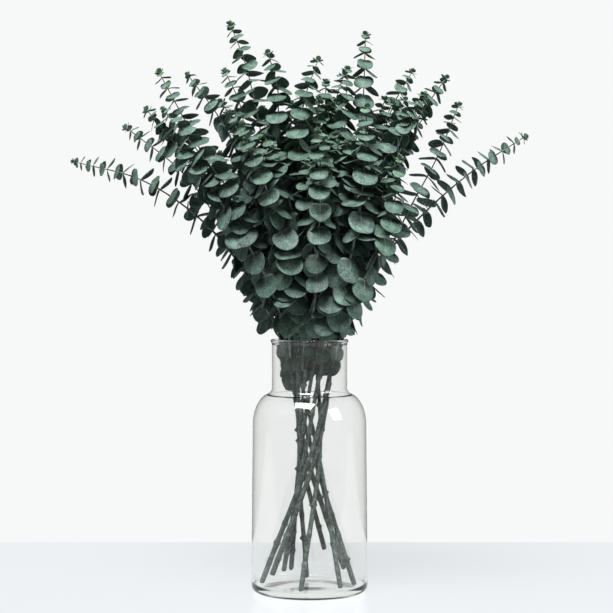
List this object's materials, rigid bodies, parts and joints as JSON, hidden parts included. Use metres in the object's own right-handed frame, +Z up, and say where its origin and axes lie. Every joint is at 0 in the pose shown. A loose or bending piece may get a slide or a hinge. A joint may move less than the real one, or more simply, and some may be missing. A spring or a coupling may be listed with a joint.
{
  "type": "eucalyptus branches in a bottle vase",
  "caption": "Bunch of round-leaved eucalyptus branches with opposite leaves on slender twigs, standing in a clear glass bottle vase with a straight neck.",
  "frame": {"origin": "middle of the bottle's flat base, on the surface that it stands on", "axes": "+Z up along the bottle, +X to the right seen from the front, +Y towards the back"},
  "size_m": [0.4817, 0.2475, 0.6064],
  "materials": {
    "glass": "clear, smooth",
    "bark": "dull grey-brown bark",
    "leaf": "blue-green leaf with a pale waxy bloom"
  },
  "bodies": {
    "root": {"bottle": "glass", "shoot_01a": "leaf", "shoot_01b": "leaf", "shoot_02a": "leaf", "shoot_02b": "leaf", "shoot_03a": "leaf", "shoot_03b": "leaf", "shoot_04a": "leaf", "shoot_04b": "leaf", "shoot_05a": "leaf", "shoot_05b": "leaf", "shoot_05c": "leaf", "shoot_06a": "leaf", "shoot_06b": "leaf", "shoot_07a": "leaf", "shoot_07b": "leaf", "shoot_07c": "leaf", "shoot_08a": "leaf", "shoot_08b": "leaf", "shoot_09a": "leaf", "shoot_09b": "leaf", "shoot_09c": "leaf", "shoot_10a": "leaf", "shoot_10b": "leaf", "stem_01": "bark", "stem_02": "bark", "stem_03": "bark", "stem_04": "bark", "stem_05": "bark", "stem_06": "bark", "stem_07": "bark", "stem_08": "bark", "stem_09": "bark", "stem_10": "bark"}
  },
  "joints": []
}
